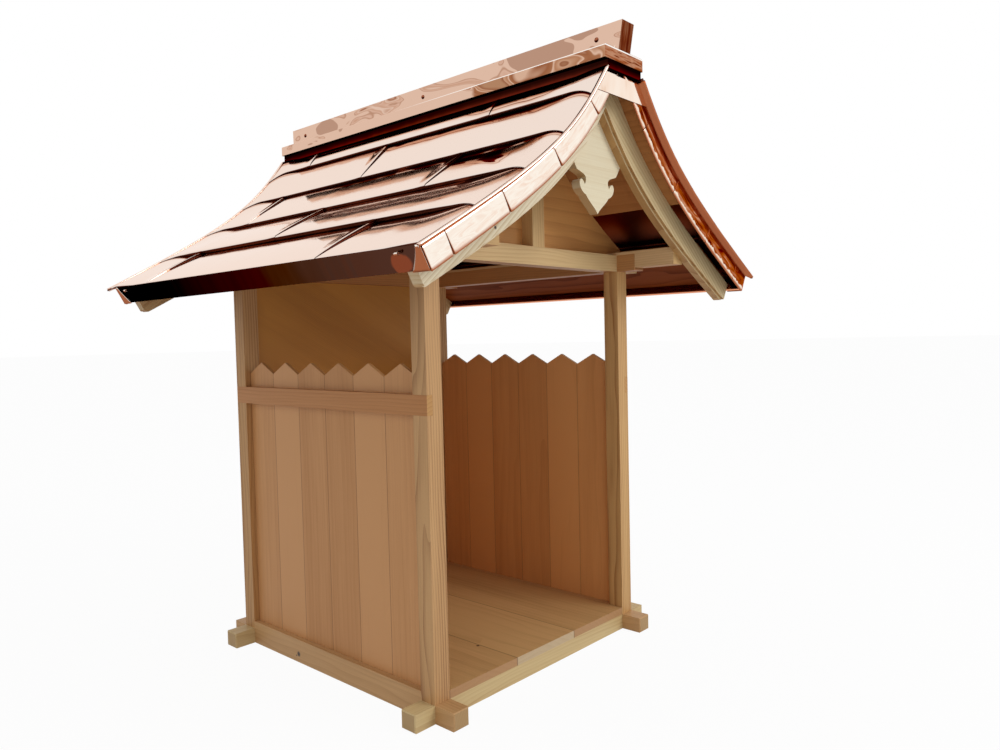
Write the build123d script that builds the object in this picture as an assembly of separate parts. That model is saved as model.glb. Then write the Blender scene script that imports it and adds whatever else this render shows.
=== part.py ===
"""Open wayside shrine shelter: hinoki frame and boards under a concave copper gable roof.

Millimetres, +Z up, -Y is the open gable front, +X is to the right of someone facing it.
The origin is on the ground under the middle of the roof.
"""
import os
from math import cos, radians, sin

from build123d import *

# ---- driving sizes: frame -------------------------------------------------------------
post = 30.0                  # square posts; sills, beams and plates share this width
width = 515.0                # over the outer faces of the posts
depth = 520.0
sill_height = 27.0
nose = 39.0                  # sills, beams and plates run on past the posts
floor_thickness = 13.0
post_length = 647.0          # from sill top to beam underside
beam_height = 30.0
lap_share = 0.5              # crossing timbers are halved into each other
end_chamfer = 1.5            # broken edges on the sawn ends

# ---- driving sizes: walls -------------------------------------------------------------
board_recess = 11.0          # outer post face back to outer board face
board_thickness = 6.0
groove_depth = 5.0
fit = 0.2                    # clearance of boards in grooves and rails in notches
board_gap = 0.3              # open joint between neighbouring boards
rail_bottom = 447.0
rail_height = 30.0
valley_height = 501.0        # ground to the low points of the pointed board heads
tooth_height = 20.0
boards_per_wall = 6
floor_boards = 3

# ---- driving sizes: roof line, one cubic curve per slope, eave to ridge -----------------
eave_reach_out = 167.0       # posts to the tips of the eaves
eave_z = 660.0
eave_angle, eave_pull = 28.7, 304.9
apex_x, apex_z = 17.6, 988.3
apex_angle, apex_pull = 56.2, 172.2
seat_height = 943.0          # both slopes are cut level here to carry the ridge

# ---- driving sizes: roof timber -------------------------------------------------------
roof_lead = 12.5             # the roof sits this much forward of the frame
purlin_lift = 5.0            # the eaves purlin stands this much above the wall plate
purlin_height = 30.0
king_depth = 23.0
gable_thickness = 6.0
ridge_purlin_height = 28.0
barge_setback = 106.0        # half the frame's depth and this much to the bargeboards
barge_thickness = 18.0
barge_top = 23.0             # drops below the roof line, square to it
barge_bottom = (60.5, 68.0)  # lower edge, at the eave and at the head
barge_foot = 18.0            # square-cut foot, along the slope from the tip of the eave
foot_rounding = 7.0
moulding = (3.5, 5.0)        # height and depth of the step along the lower edge
pendant_thickness = 15.0
deck_drops = (10.0, 23.0)
deck_from, deck_joint = 57.5, 142.5   # lower edges of the two deck boards, inside the posts
eaves_board_along = (25.0, 139.0)
eaves_board_bearing = 9.0    # end of the eaves boards on the bargeboards

# ---- driving sizes: copper ------------------------------------------------------------
sheet = 1.5
gap = 0.3                    # between curved layers that lie on each other
point_pitch = 45.0           # spacing of the fitted points along the roof line
eaves_edge = 14.0            # tip of the eave back to the fascia and the first course
lap_shares = (0.279, 0.513, 0.727, 0.92)   # of the slope up to the seat, one per lap
course_overlap = 15.0
course_crest = 2.0           # lower edge of a course, below the roof line
verge_overhang = 152.8       # half the frame's depth and this much to the verge faces
verge_drops = (37.0, 32.5)   # lower edge of the face, at the eave and at the ridge
flange_out, flange_in = 9.7, 10.0   # top flange in front of the face and over the courses
fascia_drops = (3.0, 35.0)
fascia_hem = 3.7             # folded back as far as the feet of the bargeboards
apex_plate = (909.0, 938.0)  # bottom and top
base_size = (88.0, 14.0)
cap_size = (100.0, 19.0)
box_size = (31.0, 41.0)
base_reach, cap_reach = 159.0, 158.6     # half the frame's depth and this much
box_reach = (159.0, 165.0)   # foot of the box at the front and at the back
box_tip = 166.2              # both ends at the top
cap_rounding = 3.0

# ---- derived places -------------------------------------------------------------------
half_w, half_d = width / 2, depth / 2
post_x = (-half_w, -half_w + post)           # left-hand posts, sills, plates and purlins
post_y = (-half_d, -half_d + post)           # front posts, sills and beams
bay = (-half_d + post, half_d - post)        # between front and back posts
floor_top = sill_height + floor_thickness
beam_bottom = sill_height + post_length
beam_top = beam_bottom + beam_height
purlin_top = beam_top + purlin_lift
ridge_purlin_bottom = seat_height - ridge_purlin_height
eave_x = half_w + eave_reach_out
barge_back = half_d + barge_setback
barge_front = barge_back + barge_thickness
verge_face = half_d + verge_overhang
verge_inside = verge_face - sheet
wall_x = (-half_w + board_recess, -half_w + board_recess + board_thickness)
back_wall_y = (half_d - board_recess - board_thickness, half_d - board_recess)
ROOF = Bezier((eave_x, eave_z),
              (eave_x - eave_pull * cos(radians(eave_angle)),
               eave_z + eave_pull * sin(radians(eave_angle))),
              (apex_x + apex_pull * cos(radians(apex_angle)),
               apex_z - apex_pull * sin(radians(apex_angle))),
              (apex_x, apex_z))


# ---- helpers --------------------------------------------------------------------------
def save(name, *solids, back=0.0):
    """Write one node; back moves it from the roof's middle towards the back."""
    solids = [Pos(0, back, 0) * solid for solid in solids]
    shape = solids[0] if len(solids) == 1 else Compound(children=solids)
    export_step(shape, f"parts/{name}.step")


def save_pair(names, shape, plane=Plane.YZ, back=0.0):
    """Save a piece and its mirror image."""
    save(names[0], shape, back=back)
    save(names[1], mirror(shape, about=plane), back=back)


def block(x, y, z):
    """Box between the two values given for each axis."""
    low, high = zip(*(sorted(pair) for pair in (x, y, z)))
    size = [b - a for a, b in zip(low, high)]
    return Pos(*low) * Box(*size, align=(Align.MIN,) * 3)


def grown(pair, by):
    return min(pair) - by, max(pair) + by


def mirrored_pair(pair):
    return -pair[1], -pair[0]


def timber(x, y, z, axis):
    """Squared timber with the edges of both sawn ends broken."""
    body = block(x, y, z)
    ends = body.faces().sort_by(axis)
    return chamfer(ends[0].edges() + ends[-1].edges(), end_chamfer)


def prism(outline, y):
    """Closed outline drawn in x and z, extruded from y[0] to y[1]."""
    plane = Plane(origin=(0, y[1], 0), x_dir=(1, 0, 0), z_dir=(0, -1, 0))
    return extrude(plane * make_face(outline), amount=y[1] - y[0])


def at_front(near, far):
    """y range at the front for two distances from the middle of the roof."""
    return -far, -near


def roof_point(along, drop=0.0):
    """Point (x, z) at a distance along the roof line from the eave, moved in by drop."""
    on_line = min(max(along, 0.0), ROOF.length)
    point = ROOF.position_at(on_line, PositionMode.LENGTH)
    way = ROOF.tangent_at(on_line, PositionMode.LENGTH)
    past = along - on_line
    return (point.X + past * way.X - drop * way.Y, point.Y + past * way.Y + drop * way.X)


def along_where(reached, drop=0.0):
    """Distance along the roof line where reached(x, z) turns positive."""
    low, high = 0.0, ROOF.length
    for _ in range(30):
        middle = (low + high) / 2
        low, high = (low, middle) if reached(*roof_point(middle, drop)) > 0 else (middle, high)
    return low


def along_at_x(x, drop=0.0):
    return along_where(lambda px, pz: x - px, drop)


def along_at_z(z, drop=0.0):
    return along_where(lambda px, pz: pz - z, drop)


def run(along, drops):
    """Points along the roof line while the drop changes evenly from drops[0] to drops[1]."""
    pieces = max(4, round((along[1] - along[0]) / point_pitch))
    shares = [i / pieces for i in range(pieces + 1)]
    return [roof_point(along[0] + (along[1] - along[0]) * k,
                       drops[0] + (drops[1] - drops[0]) * k) for k in shares]


def band(along, upper_drops, lower_drops, y):
    """Curved board on the right-hand slope between an upper and a lower edge."""
    upper, lower = run(along, upper_drops), run(along, lower_drops)
    return prism([Spline(*upper), Line(upper[-1], lower[-1]),
                  Spline(*lower[::-1]), Line(lower[0], upper[0])], y)


def gable_shape(edge, base, y):
    """Shape between a slope's edge and its mirror image, closed below by the base points."""
    other = [(-x, z) for x, z in edge]
    return prism([Spline(*edge), Line(edge[-1], other[-1]), Spline(*other[::-1]),
                  Polyline(other[0], *base, edge[0])], y)


def seated(shape):
    """Cut a slope piece level under the ridge."""
    return shape - block((-eave_x, eave_x), grown((-verge_face, verge_face), nose),
                         (seat_height, 2 * seat_height))


# ---- sills and floor ------------------------------------------------------------------
def build_sills():
    lap = sill_height * lap_share
    cross = timber(grown((-half_w, half_w), nose), post_y, (0, sill_height), Axis.X)
    along = timber(post_x, grown((-half_d, half_d), nose), (0, sill_height), Axis.Y)
    along += block(post_x, bay, (sill_height, floor_top))
    along -= block(grown(wall_x, fit / 2), bay, (floor_top - groove_depth, floor_top))
    for x in (post_x, mirrored_pair(post_x)):
        cross -= block(x, post_y, (lap, sill_height))
    for y in (post_y, mirrored_pair(post_y)):
        along -= block(post_x, y, (0, lap))
    save_pair(("front_sill", "back_sill"), cross, Plane.XZ, roof_lead)
    save_pair(("left_sill", "right_sill"), along, back=roof_lead)


def build_floor():
    left = post_x[1]
    pitch = -2 * left / floor_boards
    save("floor_boards", *(block((left + i * pitch + board_gap / 2,
                                  left + (i + 1) * pitch - board_gap / 2),
                                 (-half_d, back_wall_y[0]), (sill_height, floor_top))
                           for i in range(floor_boards)), back=roof_lead)


# ---- posts and walls ------------------------------------------------------------------
def build_posts():
    """Posts with a notch for the mid rail and stopped grooves for the boards."""
    rail_notch = (rail_bottom - fit / 2, rail_bottom + rail_height + fit / 2)
    groove_z = (floor_top - groove_depth, valley_height + fit)
    for end, y, inner in (("front", post_y, 1), ("back", mirrored_pair(post_y), 0)):
        groove_y = (y[inner], y[inner] + (groove_depth if end == "back" else -groove_depth))
        body = block(post_x, y, (sill_height, beam_bottom))
        body -= block((-half_w, wall_x[0]), y, rail_notch)
        body -= block(grown(wall_x, fit / 2), groove_y, groove_z)
        if end == "back":
            body -= block((post_x[1] - groove_depth, post_x[1]), grown(back_wall_y, fit / 2),
                          (sill_height, beam_bottom))
        save_pair((f"{end}_left_post", f"{end}_right_post"), body, back=roof_lead)


def build_walls():
    """Upright boards with pointed heads, the mid rail outside them, and the back panel."""
    pitch = (bay[1] - bay[0]) / boards_per_wall
    tongue = groove_depth - fit
    foot = floor_top - tongue
    plane = Plane(origin=(wall_x[0], 0, 0), x_dir=(0, 1, 0), z_dir=(1, 0, 0))
    boards = []
    for i in range(boards_per_wall):
        y0, y1 = bay[0] + i * pitch, bay[0] + (i + 1) * pitch
        head = [(y0 + board_gap / 2, valley_height), ((y0 + y1) / 2, valley_height + tooth_height),
                (y1 - board_gap / 2, valley_height)]
        if i == 0:
            head = [(y0 - tongue, valley_height), (y0, valley_height)] + head[1:]
        if i == boards_per_wall - 1:
            head = head[:2] + [(y1, valley_height), (y1 + tongue, valley_height)]
        outline = Polyline(*head, (head[-1][0], foot), (head[0][0], foot), close=True)
        boards.append(extrude(plane * make_face(outline), amount=board_thickness))
    save("left_wall_boards", *boards, back=roof_lead)
    save("right_wall_boards", *(mirror(board, about=Plane.YZ) for board in boards), back=roof_lead)
    rail = block((-half_w, wall_x[0]), (-half_d, half_d), (rail_bottom, rail_bottom + rail_height))
    save_pair(("left_mid_rail", "right_mid_rail"), rail, back=roof_lead)
    reach = half_w - post + tongue
    panel = block((-reach, reach), back_wall_y, (sill_height, beam_bottom))
    for x in (post_x, mirrored_pair(post_x)):
        panel -= block(x, bay, (sill_height, floor_top))
    save("back_wall_panel", panel, back=roof_lead)


# ---- beams, plates and purlins --------------------------------------------------------
def build_top_frame():
    lap = beam_bottom + beam_height * lap_share
    beam = timber(grown((-half_w, half_w), nose), post_y, (beam_bottom, beam_top), Axis.X)
    plate_y = grown((-half_d, half_d), nose)
    plate = timber(post_x, plate_y, (beam_bottom, beam_top), Axis.Y)
    for x in (post_x, mirrored_pair(post_x)):
        beam -= block(x, post_y, (lap, beam_top))
    for y in (post_y, mirrored_pair(post_y)):
        plate -= block(post_x, y, (beam_bottom, lap))
    save_pair(("front_beam", "back_beam"), beam, Plane.XZ, roof_lead)
    save_pair(("left_wall_plate", "right_wall_plate"), plate, back=roof_lead)

    purlin = block(post_x, (-barge_back, barge_back), (purlin_top - purlin_height, purlin_top))
    purlin -= Pos(0, roof_lead, 0) * block(post_x, plate_y, (beam_bottom, beam_top))
    save_pair(("left_eaves_purlin", "right_eaves_purlin"), purlin)


# ---- gables ---------------------------------------------------------------------------
def build_gables():
    king_x, king_y = (-post / 2, post / 2), (-half_d, -half_d + king_depth)
    king = block(king_x, king_y, (beam_top, ridge_purlin_bottom))
    save("king_posts", king, mirror(king, about=Plane.XZ), back=roof_lead)
    ridge = block(king_x, (-barge_back + pendant_thickness, barge_back - pendant_thickness),
                  (ridge_purlin_bottom, seat_height))
    save("ridge_purlin", ridge)

    drop = deck_drops[1] + gap
    edge = run((along_at_x(half_w + nose, drop), along_at_z(seat_height, drop)), (drop, drop))
    end = edge[0][0]
    panel = gable_shape(edge, ((-end, beam_top), (end, beam_top)),
                        (king_y[1], king_y[1] + gable_thickness)) - ridge
    for x in (post_x, mirrored_pair(post_x)):
        panel -= block(x, post_y, (beam_top, purlin_top))
    save_pair(("front_gable_panel", "back_gable_panel"), panel, Plane.XZ, roof_lead)


def build_bargeboards():
    """Concave boards with a square foot, a mitred head and a stepped lower edge."""
    y = at_front(barge_back, barge_front)
    whole = (barge_foot, ROOF.length)
    step_height, step_depth = moulding
    step_top, step_bottom = ([drop + by for drop in barge_bottom] for by in (-step_height, 1))
    board = band(whole, (barge_top + gap,) * 2, barge_bottom, y)
    foot = board.edges().filter_by(Axis.Y).sort_by(Axis.Z)[0]
    board = fillet(foot, foot_rounding)
    board -= band(grown(whole, 1), step_top, step_bottom, (y[0], y[0] + step_depth))
    board -= block((-eave_x, 0), y, (0, 2 * apex_z))
    board = seated(board)
    save_pair(("front_right_bargeboard", "front_left_bargeboard"), board)
    save_pair(("back_right_bargeboard", "back_left_bargeboard"), mirror(board, about=Plane.XZ))


def build_pendants():
    """Gable pendant: shoulders, small hooks and a double-curved drop to a point."""
    hook = Spline((52, 806), (34.6, 800), (29.3, 795.5), (29.5, 789.5), (32.5, 784.5))
    curl = Spline((32.5, 784.5), (36.3, 790), (41, 792), (44.6, 788.5), (44.5, 783), (41, 776.5),
                  (36, 772.4), (29.6, 769.6))
    drop = Spline((29.6, 769.6), (22, 762), (13, 755), (5, 748.5), (0, 743))
    head = Polyline((0, seat_height), (post / 2, seat_height), (post / 2, 905), (66, 826), (52, 806))
    half = make_face([head, hook, curl, drop, Line((0, 743), (0, seat_height))])
    y = at_front(barge_back - pendant_thickness, barge_back)
    plane = Plane(origin=(0, y[1], 0), x_dir=(1, 0, 0), z_dir=(0, -1, 0))
    side = extrude(plane * half, amount=pendant_thickness)
    save_pair(("front_pendant", "back_pendant"), side + mirror(side, about=Plane.YZ), Plane.XZ)


# ---- roof boarding and copper -----------------------------------------------------------
def build_roof_boards():
    joints = (along_at_x(half_w - deck_from), along_at_x(half_w - deck_joint), ROOF.length)
    y = (-verge_inside, verge_inside)
    top, bottom = ((drop, drop) for drop in deck_drops)
    boards = [seated(band((low, high - board_gap), top, bottom, y))
              for low, high in zip(joints, joints[1:])]
    save("right_roof_deck", *boards)
    save("left_roof_deck", *(mirror(board, about=Plane.YZ) for board in boards))
    reach = barge_back + eaves_board_bearing
    eaves = band(eaves_board_along, top, bottom, (-reach, reach))
    save("eaves_boards", eaves, mirror(eaves, about=Plane.YZ))


def build_courses():
    """Lapped copper courses: each is bedded at its head and stands on its turned-down lip."""
    bed = deck_drops[0] - gap - sheet
    rise = (bed - course_crest)
    y = (-verge_inside, verge_inside)
    top = along_at_z(seat_height)
    starts = [eaves_edge] + [share * top for share in lap_shares]
    heads = [start + course_overlap for start in starts[1:]] + [ROOF.length]
    sheets = []
    for i, (start, end) in enumerate(zip(starts, heads)):
        upper = run((start, end), (course_crest, bed))
        lower = run((start + sheet, end), (course_crest + sheet, bed + sheet))
        lip = bed - gap
        if i:
            below = starts[i - 1]
            lip = bed - rise * course_overlap / (start + course_overlap - below) - gap
        outline = [Spline(*upper), Line(upper[-1], lower[-1]), Spline(*lower[::-1]),
                   Polyline(lower[0], roof_point(start + sheet, lip), roof_point(start, lip),
                            upper[0])]
        sheets.append(seated(prism(outline, y)))
    save("right_copper_courses", *sheets)
    save("left_copper_courses", *(mirror(one, about=Plane.YZ) for one in sheets))


def build_edges():
    """Verge strips under a flange that runs out to a point, eaves fascias and apex plates."""
    face_y = at_front(verge_inside, verge_face)
    flange_y = at_front(verge_inside - flange_in, verge_face + flange_out)
    flange = band((0, ROOF.length), (0, 0), (sheet, sheet), flange_y)
    root_x = roof_point(eaves_edge)[0]
    ear = Polyline((root_x, face_y[0]), (eave_x, flange_y[0]), (eave_x + 1, flange_y[0]),
                   (eave_x + 1, flange_y[1]), (root_x, flange_y[1]), close=True)
    flange -= extrude(make_face(ear), amount=2 * apex_z)
    face = band((eaves_edge, ROOF.length), (sheet / 2,) * 2, verge_drops, face_y)
    strip = seated(face + flange)
    pair = (strip, mirror(strip, about=Plane.YZ))
    save("front_verge_strips", *pair)
    save("back_verge_strips", *(mirror(one, about=Plane.XZ) for one in pair))

    top, bottom = fascia_drops
    corners = ((0, top), (-sheet, top), (-sheet, bottom), (fascia_hem, bottom),
               (fascia_hem, bottom - sheet), (0, bottom - sheet))
    fascia = prism(Polyline(*(roof_point(eaves_edge + along, drop) for along, drop in corners),
                            close=True), (-verge_inside, verge_inside))
    save_pair(("right_eaves_fascia", "left_eaves_fascia"), fascia)

    drop = sheet + gap
    edge = run([along_at_z(z, drop) for z in apex_plate], (drop, drop))
    plate = gable_shape(edge, (), at_front(verge_face, verge_face + sheet))
    save("apex_plates", plate, mirror(plate, about=Plane.XZ))


def build_ridge():
    """Base, cap and box of the ridge; the box ends lean outwards."""
    level = seat_height
    for name, (wide, high), reach in (("ridge_base", base_size, base_reach),
                                      ("ridge_cap", cap_size, cap_reach)):
        body = block((-wide / 2, wide / 2), grown((-half_d, half_d), reach),
                     (level, level + high))
        if name == "ridge_cap":
            upper = body.edges().filter_by(Axis.Y).group_by(Axis.Z)[-1]
            body = fillet(upper, cap_rounding)
        save(name, body)
        level += high
    front, back, tip = (half_d + reach for reach in (*box_reach, box_tip))
    wide, high = box_size
    plane = Plane(origin=(-wide / 2, 0, 0), x_dir=(0, 1, 0), z_dir=(1, 0, 0))
    outline = Polyline((-front, level), (back, level), (tip, level + high), (-tip, level + high),
                       close=True)
    save("ridge_box", extrude(plane * make_face(outline), amount=wide))


os.makedirs("parts", exist_ok=True)
build_sills()
build_floor()
build_posts()
build_walls()
build_top_frame()
build_gables()
build_bargeboards()
build_pendants()
build_roof_boards()
build_courses()
build_edges()
build_ridge()
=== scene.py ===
"""Wayside shrine shelter: planed hinoki frame and boards under a lapped sheet-copper gable roof.

Metres, +Z up, -Y is the open gable front; the origin is on the ground under the middle of the roof.
"""
from math import radians

import bpy
import numpy as np
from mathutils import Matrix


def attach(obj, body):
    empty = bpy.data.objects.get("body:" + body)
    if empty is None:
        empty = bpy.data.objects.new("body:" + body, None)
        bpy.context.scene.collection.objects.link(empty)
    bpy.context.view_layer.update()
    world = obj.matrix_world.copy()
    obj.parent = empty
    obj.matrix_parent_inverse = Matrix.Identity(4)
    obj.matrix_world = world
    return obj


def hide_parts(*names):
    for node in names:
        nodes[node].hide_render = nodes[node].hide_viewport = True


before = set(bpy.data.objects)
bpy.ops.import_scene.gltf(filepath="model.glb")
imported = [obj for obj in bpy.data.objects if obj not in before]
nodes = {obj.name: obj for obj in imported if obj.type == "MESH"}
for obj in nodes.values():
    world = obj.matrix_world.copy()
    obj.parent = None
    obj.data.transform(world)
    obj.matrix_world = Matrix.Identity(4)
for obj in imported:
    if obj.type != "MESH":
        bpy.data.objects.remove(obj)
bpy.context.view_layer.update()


# ---- Sills -------------------------------------------------------------------------------
# Four planed hinoki sills halved over each other at the corners, where their sawn noses
# run on past the posts. Hinoki is a pale cypress: a dull satin surface with straight lines a
# few millimetres apart, and arcs of the same rings on every sawn end.
def linear(code):
    """sRGB hex text such as "C9B27E" to a linear RGBA colour."""
    srgb = [int(code[i:i + 2], 16) / 255 for i in (0, 2, 4)]
    return [c / 12.92 if c <= 0.04045 else ((c + 0.055) / 1.055) ** 2.4 for c in srgb] + [1.0]


def add(tree, kind, links=None, stops=(), **settings):
    """Adds a shader node: settings are its properties, links its inputs by name or number, and
    stops the (position, sRGB hex) pairs of a colour ramp."""
    node = tree.nodes.new("ShaderNode" + kind)
    for name, value in settings.items():
        setattr(node, name, value)
    for name, value in (links or {}).items():
        if isinstance(value, bpy.types.NodeSocket):
            tree.links.new(value, node.inputs[name])
        else:
            node.inputs[name].default_value = value
    for _ in stops[2:]:
        node.color_ramp.elements.new(1.0)
    if stops:
        for element, (position, code) in zip(node.color_ramp.elements, stops):
            element.position, element.color = position, linear(code)
    return node


def blank_material(name):
    """A new material without any node, and its node tree."""
    material = bpy.data.materials.new(name)
    material.use_nodes = True
    material.node_tree.nodes.clear()
    return material, material.node_tree


AXES = {"X": (1, 0, 0), "Y": (0, 1, 0), "Z": (0, 0, 1)}
# Patterns in the wood, in repeats per metre along the grain and across it: the slow bending of
# the rings, 0.8 m by 140 mm; the fibres, 100 mm by 1.1 mm, drawn far coarser than real ones so
# that they show; and the broad bands of deeper colour, 0.9 m by 42 mm.
WOOD_PATTERNS = {"slow": (1.3, 7.0), "fibre": (10.0, 900.0), "broad": (1.1, 24.0)}
# How far a joint between boards is fully dark, and how far its dark edge fades, in metres.
JOINT_CORE, JOINT_RIM = 0.0004, 0.0012


def planed_hinoki(name, run, early, late, end, ring=0.0045, lines=0.45, heart=(0.11, 0.06),
                  boards=None, tilt=0.0, knots=(), spread=0.16, gap=0.6,
                  fresh_end=None, gloss=0.5):
    """Solid hinoki, planed along the axis called run: growth rings as cylinders round a heart
    line, sharpened into thin late-wood lines, plus bands, fibres and each board's own shade.

    early, late and end colour the wood between the lines, the lines and the sawn ends. ring is
    the ring width and heart the distance of the heart line from the origin across the grain,
    in metres; lines is how strong the lines are. boards (axis, start, pitch) gives each board
    its own heart and shade, spread is how far their shades differ and gap how dark the joints
    between them are; fresh_end (board number, colour) gives one board a paler sawn end. tilt
    turns the grain about the Y axis for boards sawn out on a slope. knots are points with a
    radius, drawn as small dark spots. gloss is the specular level. Undersides are painted
    darker and warmer: painted shade.
    """
    material, tree = blank_material(name)
    place = add(tree, "TexCoord").outputs["Object"]
    spot = place
    if tilt:
        place = add(tree, "VectorRotate", {"Vector": place, "Angle": radians(tilt)},
                    rotation_type="Y_AXIS").outputs[0]
    shade, joint, number = 0.5, 0.0, None
    if boards:
        axis, start, pitch = boards
        across = add(tree, "SeparateXYZ", {0: place}).outputs[axis]
        across = add(tree, "Math", {0: across, 1: start}, operation="SUBTRACT").outputs[0]
        across = add(tree, "Math", {0: across, 1: pitch}, operation="DIVIDE").outputs[0]
        number = add(tree, "Math", {0: across}, operation="FLOOR").outputs[0]
        joint = add(tree, "Math", {0: across, 1: 0.5}, operation="PINGPONG").outputs[0]
        joint = add(tree, "MapRange", {"Value": joint, "From Min": JOINT_RIM / pitch,
                                       "From Max": JOINT_CORE / pitch, "To Max": gap}).outputs[0]
        chance = add(tree, "TexWhiteNoise", {"W": number}, noise_dimensions="1D")
        shade = chance.outputs["Value"]
        shift = add(tree, "VectorMath", {0: chance.outputs["Color"], 1: (0.31, 0.31, 0.31)},
                    operation="MULTIPLY").outputs[0]
        place = add(tree, "VectorMath", {0: place, 1: shift}, operation="ADD").outputs[0]
    along = np.array(AXES[run])
    noise = {}
    for use, (lengthwise, across) in WOOD_PATTERNS.items():
        scale = lengthwise * along + across * (1 - along)
        mapped = add(tree, "Mapping", {"Vector": place, "Scale": scale.tolist()})
        noise[use] = add(tree, "TexNoise", {"Vector": mapped.outputs[0], "Scale": 1.0,
                                            "Detail": 3.0, "Roughness": 0.55})
    warp = add(tree, "VectorMath", {0: noise["slow"].outputs["Color"], 1: (0.5, 0.5, 0.5)},
               operation="SUBTRACT").outputs[0]
    warp = add(tree, "VectorMath", {0: warp, "Scale": 0.05}, operation="SCALE").outputs[0]
    place = add(tree, "VectorMath", {0: place, 1: warp}, operation="ADD").outputs[0]
    sides = [a for a in "XYZ" if a != run]
    centre = [0.0, 0.0, 0.0]
    for side, away in zip(sides, heart):
        centre["XYZ".index(side)] = away
    place = add(tree, "VectorMath", {0: place, 1: centre}, operation="ADD").outputs[0]
    rings = add(tree, "TexWave", {"Vector": place, "Scale": 2 * np.pi / (20 * ring),
                                  "Distortion": 0.6, "Detail": 2.0, "Detail Scale": 0.3},
                wave_type="RINGS", rings_direction=run, wave_profile="SAW").outputs["Fac"]
    latewood = add(tree, "Math", {0: rings, 1: 2.6}, operation="POWER").outputs[0]
    broad = add(tree, "MapRange", {"Value": noise["broad"].outputs["Fac"], "From Min": 0.36,
                                   "From Max": 0.66}).outputs[0]
    strength = add(tree, "MapRange", {"Value": broad, "To Min": lines * 0.35,
                                      "To Max": lines}).outputs[0]
    latewood = add(tree, "Math", {0: latewood, 1: strength}, operation="MULTIPLY").outputs[0]
    streak = add(tree, "MapRange", {"Value": noise["fibre"].outputs["Fac"], "From Min": 0.3,
                                    "From Max": 0.7, "To Min": -0.13, "To Max": 0.13}).outputs[0]
    shade = add(tree, "MapRange", {"Value": shade, "To Min": -spread, "To Max": spread}).outputs[0]
    dark = add(tree, "Math", {0: latewood, 1: streak}, operation="ADD").outputs[0]
    dark = add(tree, "Math", {0: dark, 1: shade}, operation="ADD").outputs[0]
    dark = add(tree, "Math", {0: broad, 1: 0.22, 2: dark}, operation="MULTIPLY_ADD",
               use_clamp=True).outputs[0]
    colour = add(tree, "Mix", {0: dark, 6: linear(early), 7: linear(late)},
                 data_type="RGBA").outputs[2]
    # Painted shade: faces that point down are darkened and warmed.
    normal = add(tree, "NewGeometry").outputs["Normal"]
    under = add(tree, "SeparateXYZ", {0: normal}).outputs["Z"]
    under = add(tree, "MapRange", {"Value": under, "From Min": -0.25, "From Max": -0.6}).outputs[0]
    painted_under_shade = add(tree, "Mix", {0: 1.0, 6: colour, 7: linear("D9BC9C")},
                      data_type="RGBA", blend_type="MULTIPLY").outputs[2]
    colour = add(tree, "Mix", {0: under, 6: colour, 7: painted_under_shade}, data_type="RGBA").outputs[2]
    facing = add(tree, "VectorMath", {0: normal, 1: AXES[run]},
                 operation="DOT_PRODUCT").outputs["Value"]
    facing = add(tree, "Math", {0: facing}, operation="ABSOLUTE").outputs[0]
    sawn = add(tree, "MapRange", {"Value": facing, "From Min": 0.8, "From Max": 0.95}).outputs[0]
    cut = linear(end)
    if fresh_end is not None:
        chosen = add(tree, "Math", {0: number, 1: fresh_end[0]}, operation="COMPARE").outputs[0]
        cut = add(tree, "Mix", {0: chosen, 6: cut, 7: linear(fresh_end[1])},
                  data_type="RGBA").outputs[2]
    ends = add(tree, "Mix", {0: latewood, 6: cut, 7: linear(late)}, data_type="RGBA").outputs[2]
    colour = add(tree, "Mix", {0: sawn, 6: colour, 7: ends}, data_type="RGBA").outputs[2]
    colour = add(tree, "Mix", {0: joint, 6: colour, 7: linear("4A2A12")},
                 data_type="RGBA").outputs[2]
    for point, radius in knots:
        off = add(tree, "VectorMath", {0: spot, 1: point}, operation="DISTANCE").outputs["Value"]
        inside = add(tree, "MapRange", {"Value": off, "From Min": radius,
                                        "From Max": radius * 0.5}).outputs[0]
        colour = add(tree, "Mix", {0: inside, 6: colour, 7: linear("3A2412")},
                     data_type="RGBA").outputs[2]
    bump = add(tree, "Bump", {"Height": dark, "Strength": 0.35, "Distance": 0.0004})
    rough = add(tree, "MapRange", {"Value": dark, "To Min": 0.5, "To Max": 0.66}).outputs[0]
    wood = add(tree, "BsdfPrincipled", {"Base Color": colour, "Roughness": rough,
                                        "Normal": bump.outputs[0]})
    wood.inputs["IOR"].default_value = 1.45
    wood.inputs["Specular IOR Level"].default_value = gloss
    add(tree, "OutputMaterial", {"Surface": wood.outputs[0]})
    return material


def finish_nodes(material, *names):
    """Gives CAD nodes one material in place of the one they came with."""
    for name in names:
        slots = nodes[name].data.materials
        slots.clear()
        slots.append(material)


finish_nodes(planed_hinoki("planed hinoki sill crosswise", "X", "D6BD8A", "B08855", "B7986A"),
             "front_sill", "back_sill")
SILL_KNOTS = (((-0.2575, 0.0993, 0.0147), 0.0055), ((-0.2575, 0.1060, 0.0105), 0.002))
finish_nodes(planed_hinoki("planed hinoki sill lengthwise", "Y", "CCA16E", "A57746", "B29062",
                           knots=SILL_KNOTS), "left_sill", "right_sill")


# ---- Floor -------------------------------------------------------------------------------
# Three wide hinoki boards laid front to back on the sills, flat-sawn, so that the rings
# open into long pointed figures; the middle board's end is freshly cut and paler.
FLOOR_EDGE, FLOOR_PITCH = -0.2275, 0.455 / 3
FLOOR_KNOT = ((-0.080, -0.163, 0.040), 0.0035)
finish_nodes(planed_hinoki("planed hinoki floor", "Y", "D8AE75", "996939", "B68A5E", ring=0.009,
                           lines=0.22, heart=(0.02, 0.03), boards=("X", FLOOR_EDGE, FLOOR_PITCH),
                           knots=(FLOOR_KNOT,), fresh_end=(1, "C9B08C")),
             "floor_boards")


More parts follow.
